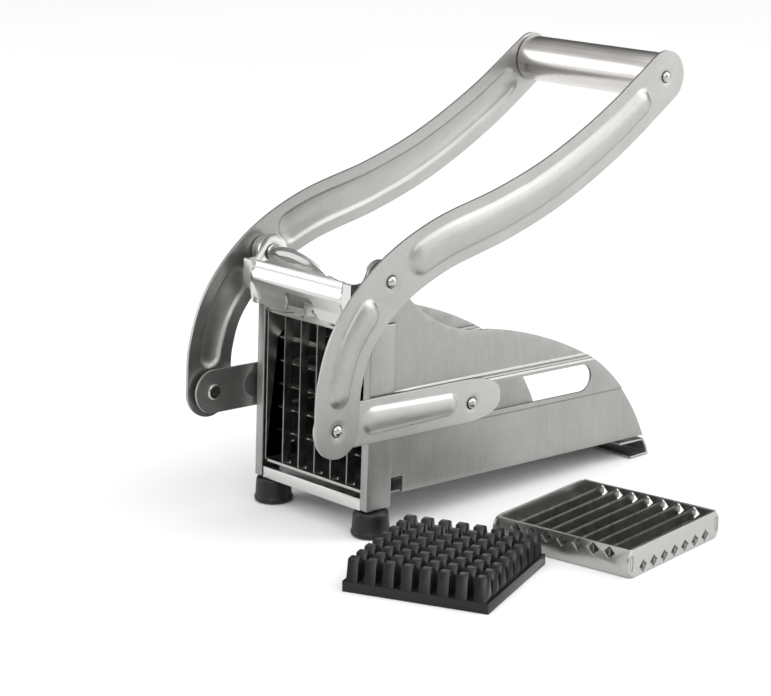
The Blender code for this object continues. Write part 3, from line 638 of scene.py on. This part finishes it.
def arm_rows(spine, stations, length):
    """(station, point, normal, half width) rows; the ends shrink along a circle."""
    rows = []
    quarter, near_tip = 14, ARM_HALF * 0.9995
    cap = [ARM_HALF * math.cos(math.pi / 2 * k / quarter) for k in range(1, quarter)]
    start_dir = (spine[1] - spine[0]).normalized()
    end_dir = (spine[-1] - spine[-2]).normalized()
    for reach in [near_tip] + cap:
        half = math.sqrt(ARM_HALF ** 2 - reach ** 2)
        normal = Vector((-start_dir.y, start_dir.x))
        rows.append((-reach, spine[0] - start_dir * reach, normal, half))
    for i, point in enumerate(spine):
        along = (spine[min(i + 1, len(spine) - 1)] - spine[max(i - 1, 0)]).normalized()
        rows.append((stations[i], point, Vector((-along.y, along.x)), ARM_HALF))
    for reach in cap[::-1] + [near_tip]:
        half = math.sqrt(ARM_HALF ** 2 - reach ** 2)
        normal = Vector((-end_dir.y, end_dir.x))
        rows.append((length + reach, spine[-1] + end_dir * reach, normal, half))
    return rows


def pin_end(base, inner):
    """Round end of a pin and its shank: (radius, y) from the crown inwards."""
    crown = [(PIN_R * math.sin(a), base + DOME_HIGH * math.cos(a))
             for a in (math.pi / 2 * k / 8 for k in range(1, 9))]
    return [(0.0, base + DOME_HIGH)] + crown + [(PIN_R, base - 0.1 * MM), (PIN_R, base - 0.3 * MM),
                                                (PIN_R, inner)]


def make_handle():
    """Polished tube with turned-in ends, and the through rod with round ends."""
    half, outer, wall = ARM_IN - 0.3 * MM, 12.0 * MM, 1.2 * MM
    lip = [(outer - wall, half - 2.5 * MM), (outer - wall, half - 0.3 * MM),
           (outer - 0.9 * MM, half), (outer - 0.45 * MM, half - 0.06 * MM),
           (outer - 0.1 * MM, half - 0.35 * MM), (outer, half - 0.9 * MM)]
    profile = lip + [(outer, half - 20 * MM), (outer, -half + 20 * MM)]
    profile += [(r, -y) for r, y in reversed(lip)]
    piece("handle_tube_polished", hollow_turned(profile, GRIP.x, GRIP.z, 1, 96), TUBE_STEEL, "lever",
          ("handle_tube",))
    end = pin_end(PIN_BASE, 30 * MM)
    profile = end + [(r, -y) for r, y in reversed(end)]
    piece("handle_rod_turned", turned(profile, GRIP.x, GRIP.z, 1), RIVET_STEEL, "lever",
          ("handle_rod",))


def make_rivets(label, side):
    """Round-ended pins at the pivot, crank and slider, and the bush between wall and arm."""
    inner = 38.0 * MM
    profile = pin_end(PIN_BASE, inner)
    profile += [(HEAD_R, inner), (HEAD_R, inner - 0.5 * MM), (HEAD_R * 0.86, inner - 1.05 * MM),
                (HEAD_R * 0.5, inner - 1.35 * MM), (0.0, inner - 1.4 * MM)]
    piece("pivot_rivet_%s_turned" % label, turned(profile, PIVOT.x, PIVOT.z, side), RIVET_STEEL,
          "root", ("pivot_rivet_" + label,))
    inner = LINK_IN - 0.3 * MM
    profile = pin_end(PIN_BASE, inner)
    profile += [(HEAD_R, inner), (HEAD_R, inner - 0.4 * MM), (HEAD_R * 0.8, inner - 0.9 * MM),
                (0.0, inner - 0.9 * MM)]
    piece("crank_rivet_%s_turned" % label, turned(profile, CRANK.x, CRANK.z, side), RIVET_STEEL,
          "lever", ("crank_rivet_" + label,))
    inner = LINK_IN - 0.2 * MM
    profile = pin_end(LINK_OUT, inner) + [(0.0, inner)]
    piece("slider_rivet_%s_turned" % label, turned(profile, SLIDER.x, SLIDER.z, side), RIVET_STEEL,
          "push_links", ("slider_rivet_" + label,))
    low, high, outer, round_off = WALL_OUT + 0.3 * MM, ARM_IN - 0.45 * MM, 7.0 * MM, 0.4 * MM
    ring = [(HOLE_R, low), (outer - round_off, low), (outer, low + round_off),
            (outer, high - round_off), (outer - round_off, high), (HOLE_R, high)]
    piece("pivot_bush_%s_turned" % label, hollow_turned(ring, PIVOT.x, PIVOT.z, side), BUSH_STEEL,
          "root", ("pivot_bush_" + label,))


# ---------------------------------------------------------------- links

def link_outline():
    """Push link in (x, z): round at the crank, straight middle, blunt oval nose past the slider."""
    nose_start, nose_reach, blunt, count = 60.0 * MM, 26.6 * MM, 0.8, 40
    nose = []
    for i in range(count + 1):
        angle = math.pi / 2 - math.pi * i / count
        along = abs(math.cos(angle)) ** blunt
        across = math.copysign(abs(math.sin(angle)) ** blunt, math.sin(angle))
        nose.append((nose_start + nose_reach * along, CRANK.z + LINK_HALF * across))
    heel = ring_points(CRANK.x, CRANK.z, LINK_HALF, 30, -math.pi / 2, -math.pi, closed=True)
    return nose + heel


def link_rise(x, z):
    """Long bead between crank and slider, and a dimple round the slider pin."""
    rise = long_bead(x, z - CRANK.z - 0.4 * MM, 0.0, 50.5 * MM,
                     half=7.0 * MM, height=1.7 * MM, taper=1.2 * MM)
    return rise + dimple(math.hypot(x - SLIDER.x, z - SLIDER.z), radius=5.2 * MM, depth=0.3 * MM)


def make_link(label, side):
    """Pressed push link with its pin holes."""
    xs = steps(-40 * MM, 90 * MM, 0.9 * MM)
    zs = steps(38 * MM, 65 * MM, 0.6 * MM)
    made = sheet_grid(xs, zs, lambda x, z: LINK_IN + link_rise(x, z), LINK_OUT - LINK_IN)
    link = draft(made)
    boolean(link, prism(link_outline(), *THROUGH_LINK), "INTERSECT")
    for centre in (CRANK, SLIDER):
        boolean(link, prism(ring_points(centre.x, centre.z, HOLE_R), *THROUGH_LINK))
    made = undraft(link)
    mirror_to(made, side)
    node = "push_link_" + label
    piece(node + "_sheet", made, LINK_STEEL, "push_links", (node,), bevel=0.22 * MM)


# ---------------------------------------------------------------- retainer

TAB_LOW, TAB_HIGH = 118.2 * MM, 130.6 * MM
# Span in X of the outline that trims the front sheet
RETAINER_X = (-40 * MM, 20 * MM)


def tab_half(z):
    """Half width of the finger tab at a height: wide at its root, round at its tip."""
    t = min(1.0, max(0.0, (z - TAB_LOW) / (TAB_HIGH - TAB_LOW)))
    return (23.0 - 10.5 * t - 7.0 * t ** 5) * MM


def retainer_face(y, z):
    """Front face x of the retainer: creased middle, flat cheeks, forward-leaning tab."""
    flat, cheek_y, groove_z = -12.1 * MM, 34.0 * MM, 114.4 * MM
    knots = [(94.0, -7.2), (96.3, -8.0), (102.0, -9.6), (108.2, -12.1), (109.2, -12.5),
             (110.2, -12.55), (111.4, -12.3), (117.6, -10.5), (118.3, -10.4), (119.2, -11.0),
             (130.6, -19.2), (134.0, -21.6)]
    middle = knots[-1][1] * MM
    for (z0, x0), (z1, x1) in zip(knots, knots[1:]):
        if z <= z1 * MM:
            share = max(0.0, (z / MM - z0) / (z1 - z0))
            middle = (x0 + (x1 - x0) * share) * MM
            break
    middle += 0.4 * MM * ridge(z - groove_z, 0.9 * MM)
    inside = smooth((cheek_y - abs(y)) / (2.2 * MM))
    above = smooth((z - TAB_LOW) / (0.8 * MM))
    return flat + (middle - flat) * max(inside, above) - tab_bulge(y, z)


def tab_bulge(y, z):
    """Long oval dome pressed out of the finger tab."""
    u, v = y / (15.5 * MM), (z - 124.2 * MM) / (4.4 * MM)
    return 1.7 * MM * smooth((1.0 - math.hypot(u, v)) / 0.62)


def retainer_outline():
    """Front sheet in (y, z): notch below, cheeks at the sides, round tab above."""
    half, skirt = 39.5 * MM, 32.2 * MM
    low, cheek_low, top = 96.3 * MM, 104.0 * MM, 118.5 * MM
    notch, notch_top, lip = 10.2 * MM, 106.4 * MM, 3.0 * MM
    right = [(notch + lip, low), (skirt, low), (skirt + 1.2 * MM, low + 1.0 * MM),
             (skirt + 1.6 * MM, cheek_low - 1.2 * MM), (skirt + 2.6 * MM, cheek_low),
             (half, cheek_low), (half, top), (27.5 * MM, top), (25.0 * MM, top + 0.5 * MM),
             (23.4 * MM, top + 1.3 * MM)]
    count = 16
    for i in range(2, count + 1):
        z = TAB_LOW + (TAB_HIGH - TAB_LOW) * i / count
        right.append((tab_half(z) * math.sqrt(1 - (i / count) ** 10 * 0.6), z))
    left = [(-y, z) for y, z in reversed(right)]
    edge = [(-notch - lip * 0.3, low + 1.0 * MM), (-notch, low + 3.4 * MM),
            (-notch, notch_top - 2 * MM), (-notch + 2 * MM, notch_top)]
    return right + left + edge + [(-y, z) for y, z in reversed(edge)]


def make_retainer():
    """Bridge over the blades: pressed front sheet and two arms with eyes on the pivot."""
    ys = fine_lines(-41 * MM, 41 * MM, 1.6 * MM, 0.6 * MM, (-32 * MM, 32 * MM), 3 * MM)
    zs = steps(94 * MM, 131 * MM, 0.6 * MM)
    sheet = draft(sheet_grid(ys, zs, retainer_face, 1.2 * MM, "X"))
    boolean(sheet, prism(retainer_outline(), *RETAINER_X, "X"), "INTERSECT")
    eye = ring_points(PIVOT.x, PIVOT.z, 9.2 * MM, 36, math.pi, -math.pi, closed=True)
    arm_front, arm_low = -11.5 * MM, 104.2 * MM
    outline = [(12.0 * MM, arm_low), (arm_front, arm_low), (arm_front, 118.3 * MM),
               (-6.2 * MM, 118.3 * MM), (-4.4 * MM, 118.7 * MM)] + eye
    for side in (-1, 1):
        low, high = sorted((side * RETAINER_IN, side * RETAINER_OUT))
        boolean(sheet, prism(outline, low, high), "UNION")
    boolean(sheet, prism(ring_points(PIVOT.x, PIVOT.z, HOLE_R), *THROUGH_BOTH))
    piece("blade_retainer_sheet", undraft(sheet), FRONT_STEEL, "retainer",
          ("blade_retainer",), bevel=0.25 * MM)


# ---------------------------------------------------------------- blades and small parts

def make_blade(node, body, edge_dir):
    """Blade strip, ground to a narrow edge on the side that meets the food."""
    made = cad_mesh(node)
    edge_dir = Vector(edge_dir).normalized()
    low, high = (Vector(c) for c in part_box(node))
    middle = (low + high) / 2
    reach = max((vert.co - middle).dot(edge_dir) for vert in made.verts)
    ground, edge_share = 0.9 * MM, 0.35
    everything = list(made.verts) + list(made.edges) + list(made.faces)
    bmesh.ops.bisect_plane(made, geom=everything, plane_co=middle + edge_dir * (reach - ground),
                           plane_no=edge_dir)
    tips = [vert for vert in made.verts if (vert.co - middle).dot(edge_dir) > reach - 0.05 * MM]
    pinch(tips, edge_share)
    bmesh.ops.recalc_face_normals(made, faces=made.faces)
    for face in made.faces:
        ground_face = (face.calc_center_median() - middle).dot(edge_dir) > reach - ground
        face.material_index = 1 if ground_face else 0
    item = object_of(node + "_ground", made)
    finish_piece(item, BLADE_STEEL, body, (node,))
    item.data.materials.append(GROUND_EDGE)


def pinch(tips, keep):
    """Draw the two corners across the strip's thickness together, keeping a share of their gap."""
    thickest = 1.2 * MM
    done = set()
    for vert in tips:
        mates = [edge.other_vert(vert) for edge in vert.link_edges]
        mates = [mate for mate in mates
                 if mate in tips and mate not in done and (mate.co - vert.co).length < thickest]
        if vert in done or not mates:
            continue
        mate = mates[0]
        centre = (vert.co + mate.co) / 2
        vert.co = centre + (vert.co - centre) * keep
        mate.co = centre + (mate.co - centre) * keep
        done.update((vert, mate))


def make_foot(label):
    """Rubber foot: soft-shouldered cone with a lip at the ground and a stem in the post."""
    node = "front_foot_" + label
    low, high = (Vector(c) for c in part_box(node))
    centre = (low + high) / 2
    tall, stem = high.z - 7.0 * MM, 3.2 * MM
    profile = [(0.0, 0.0), (8.0 * MM, 0.0), (8.8 * MM, 0.15 * MM), (9.6 * MM, 0.6 * MM),
               (9.98 * MM, 1.3 * MM), (9.95 * MM, 2.2 * MM), (9.6 * MM, 2.9 * MM),
               (9.35 * MM, 3.4 * MM), (8.9 * MM, tall - 2.6 * MM), (8.6 * MM, tall - 1.1 * MM),
               (8.1 * MM, tall - 0.4 * MM), (7.3 * MM, tall), (3.6 * MM, tall + 0.1 * MM),
               (stem, tall + 0.6 * MM), (stem, high.z), (0.0, high.z)]
    made = bmesh.new()
    rings = []
    sides = 56
    for radius, height in profile:
        points = ring_points(centre.x, centre.y, radius, sides if radius > 0 else 1)
        rings.append([made.verts.new((x, y, height)) for x, y in points])
    join_rings(made, rings, sides)
    made.transform(BODY.inverted())
    piece(node + "_turned", made, BLACK_RUBBER, "root", (node,))


def slot_details():
    """Slots at the ends of the spare cartridge's long plates, with the cross plates' tabs in them."""
    boxes = [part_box("spare_grid_blade_" + name) for name in ("a1", "a7", "b1", "b7")]
    low = Vector([min(box[0][i] for box in boxes) for i in range(3)])
    high = Vector([max(box[1][i] for box in boxes) for i in range(3)])
    centre = (low + high) / 2
    turn = blade_turn("spare_grid_blade_a1")
    place = Matrix.Translation((centre.x, centre.y, 0.0)) @ Matrix.Rotation(turn, 4, "Z")
    middle, plate_out = CART_DEPTH / 2, 41.0 * MM
    cuts = []
    for sx in (-1, 1):
        x = sx * CART_CROSS_AT
        for sy in (-1, 1):
            slot = stadium_prism(x, middle, 1.25 * MM, 3.9 * MM,
                                 sy * (CART_PLATE_AT - 0.5 * MM), sy * plate_out)
            tab = stadium_prism(x, middle, 0.8 * MM, 3.3 * MM,
                                sy * (CART_PLATE_AT - 0.8 * MM), sy * (CART_PLATE_AT - 0.12 * MM))
            slot.transform(place)
            tab.transform(place)
            cuts += [("DIFFERENCE", slot), ("UNION", tab)]
    return cuts


def blade_turn(node):
    """Heading of a blade's own width, from the normal of its widest side."""
    made = cad_mesh(node)
    side = max(made.faces, key=lambda face: face.calc_area()).normal.copy()
    made.free()
    return math.atan2(side.y, side.x)


def stadium_prism(x, z, half_x, half_z, y_first, y_second):
    """Upright slot shape with round ends, along Y."""
    straight = half_z - half_x
    outline = ring_points(x, z + straight, half_x, 10, 0.0, math.pi, closed=True)
    outline += ring_points(x, z - straight, half_x, 10, math.pi, math.pi, closed=True)
    return prism(outline, min(y_first, y_second), max(y_first, y_second))


def make_small_parts():
    """Everything whose solid only needs rounded edges."""
    for label, _ in SIDES:
        refined("front_post_" + label, WALL_STEEL, "root", 0.55 * MM, 3)
        refined("grid_stop_" + label, BLACK_PLASTIC, "root", 0.6 * MM, 3)
        refined("slider_bush_" + label, BLACK_PLASTIC, "pusher_carriage", 0.35 * MM)
    refined("floor_pan", FLOOR_STEEL, "root", 0.3 * MM)
    refined("rear_foot", FLOOR_STEEL, "root", 0.3 * MM)
    refined("front_sill", FRONT_STEEL, "root", 0.3 * MM)
    refined("carriage", FLOOR_STEEL, "pusher_carriage", 0.4 * MM)
    refined("slider_axle", RIVET_STEEL, "pusher_carriage", 0.3 * MM)
    refined("pusher_block", BLACK_PLASTIC, "pusher_carriage", 0.45 * MM)
    refined("spare_pusher_block", BLACK_PLASTIC, "spare_pusher", 0.45 * MM)
    refined("grid_frame", CARTRIDGE_STEEL, "root", 0.25 * MM)
    refined("spare_grid_frame", CARTRIDGE_STEEL, "spare_grid", 0.25 * MM, cuts=slot_details())


def make_blades():
    """Ground strips of both grids; they meet the food from the rear and from above."""
    rear = BODY.to_3x3() @ Vector((1, 0, 0))
    for node in frame["nodes"]:
        if node.startswith("grid_blade_"):
            make_blade(node, "root", rear)
        if node.startswith("spare_grid_blade_"):
            make_blade(node, "spare_grid", Vector((0, 0, 1)))


# ---------------------------------------------------------------- studio

FLOOR_RINGS, FLOOR_Z = (0.4, 1.2, 3.0, 9.0), -0.2 * MM


def make_floor():
    """Plain pale floor, a wide round sheet just under the feet."""
    made = bmesh.new()
    sides = 64
    rings = [[made.verts.new((x, y, FLOOR_Z)) for x, y in ring_points(0.0, 0.0, radius, sides)]
             for radius in FLOOR_RINGS]
    made.faces.new(rings[0])
    for inner, outer in zip(rings, rings[1:]):
        for i in range(sides):
            j = (i + 1) % sides
            made.faces.new((inner[i], outer[i], outer[j], inner[j]))
    floor = object_of("studio_floor", made)
    look, tree, shader = nodes_of("pale_floor")
    shader.inputs["Roughness"].default_value = 0.75
    shader.inputs["Specular IOR Level"].default_value = 0.2
    patches = noise(tree, "Object", (3.0, 3.0, 3.0), detail=2.0)
    pale = tint(tree, patches, (0.83, 0.83, 0.83), (0.85, 0.85, 0.85))
    tree.links.new(pale, shader.inputs["Base Color"])
    floor.data.materials.append(look)


def aim(direction):
    """Rotation of a lamp or camera that looks along a direction."""
    return direction.to_track_quat("-Z", "Y").to_euler()


def soft_box(name, away, distance, width, height, power):
    """Area light a distance away from the dicer's middle, aimed at it."""
    middle = Vector((-0.1, 0.0, 0.1))
    place = middle + distance * Vector(away)
    data = bpy.data.lights.new(name, "AREA")
    data.shape = "RECTANGLE"
    data.size = width
    data.size_y = height
    data.energy = power
    item = bpy.data.objects.new(name, data)
    bpy.context.collection.objects.link(item)
    item.location = place
    item.rotation_euler = aim(middle - place)
    item.visible_camera = False


def make_light():
    """Soft boxes right, left and in front, a wide soft ceiling, and the room round the dicer."""
    soft_box("right_box", (0.67, -0.58, 0.44), 1.5, width=0.9, height=1.2, power=11.0)
    soft_box("left_box", (-0.66, 0.70, 0.34), 1.5, width=0.8, height=0.9, power=4.6)
    soft_box("front_box", (-0.75, -0.45, 0.55), 1.7, width=0.6, height=0.6, power=3.0)
    lamp = bpy.data.lights.new("ceiling", "SUN")
    lamp.energy = 2.1
    lamp.angle = math.radians(95)
    ceiling = bpy.data.objects.new("ceiling", lamp)
    ceiling.rotation_euler = aim(Vector((0.25, 0.35, -1.0)))
    bpy.context.collection.objects.link(ceiling)
    make_room()
    bpy.context.scene.view_settings.view_transform = "Standard"


def make_room():
    """Surroundings that steel mirrors: a pale room, darker towards one low far corner."""
    dark_corner, dark_from = (0.62, 0.66, -0.42), 0.62
    world = bpy.data.worlds.new("studio")
    world.use_nodes = True
    tree = world.node_tree
    coords = tree.nodes.new("ShaderNodeTexCoord")
    facing = tree.nodes.new("ShaderNodeVectorMath")
    facing.operation = "DOT_PRODUCT"
    facing.inputs[1].default_value = dark_corner
    tree.links.new(coords.outputs["Generated"], facing.inputs[0])
    room = tree.nodes.new("ShaderNodeValToRGB")
    room.color_ramp.elements[0].position = 0.0
    room.color_ramp.elements[0].color = (0.62, 0.62, 0.62, 1.0)
    room.color_ramp.elements[1].position = dark_from
    room.color_ramp.elements[1].color = (0.06, 0.058, 0.055, 1.0)
    tree.links.new(facing.outputs["Value"], room.inputs["Fac"])
    tree.links.new(room.outputs["Color"], tree.nodes["Background"].inputs["Color"])
    bpy.context.scene.world = world


def make_camera():
    """The photograph's view: about 43 degrees off the length axis, 15 degrees down, long lens."""
    azimuth, drop = math.radians(42.8), math.radians(15.03)
    data = bpy.data.cameras.new("camera")
    data.sensor_width = 36.0
    data.lens = 113.73
    data.clip_end = 40.0
    item = bpy.data.objects.new("camera", data)
    bpy.context.collection.objects.link(item)
    item.location = Vector((-0.9507, -0.8673, 0.3963))
    level = math.cos(drop)
    item.rotation_euler = aim(Vector((math.sin(azimuth) * level, math.cos(azimuth) * level,
                                      -math.sin(drop))))
    bpy.context.scene.camera = item


make_camera()
make_floor()
make_light()
for side_label, side_sign in SIDES:
    make_wall(side_label, side_sign)
    make_arm(side_label, side_sign)
    make_rivets(side_label, side_sign)
    make_link(side_label, side_sign)
    make_foot(side_label)
make_handle()
make_retainer()
make_small_parts()
make_blades()
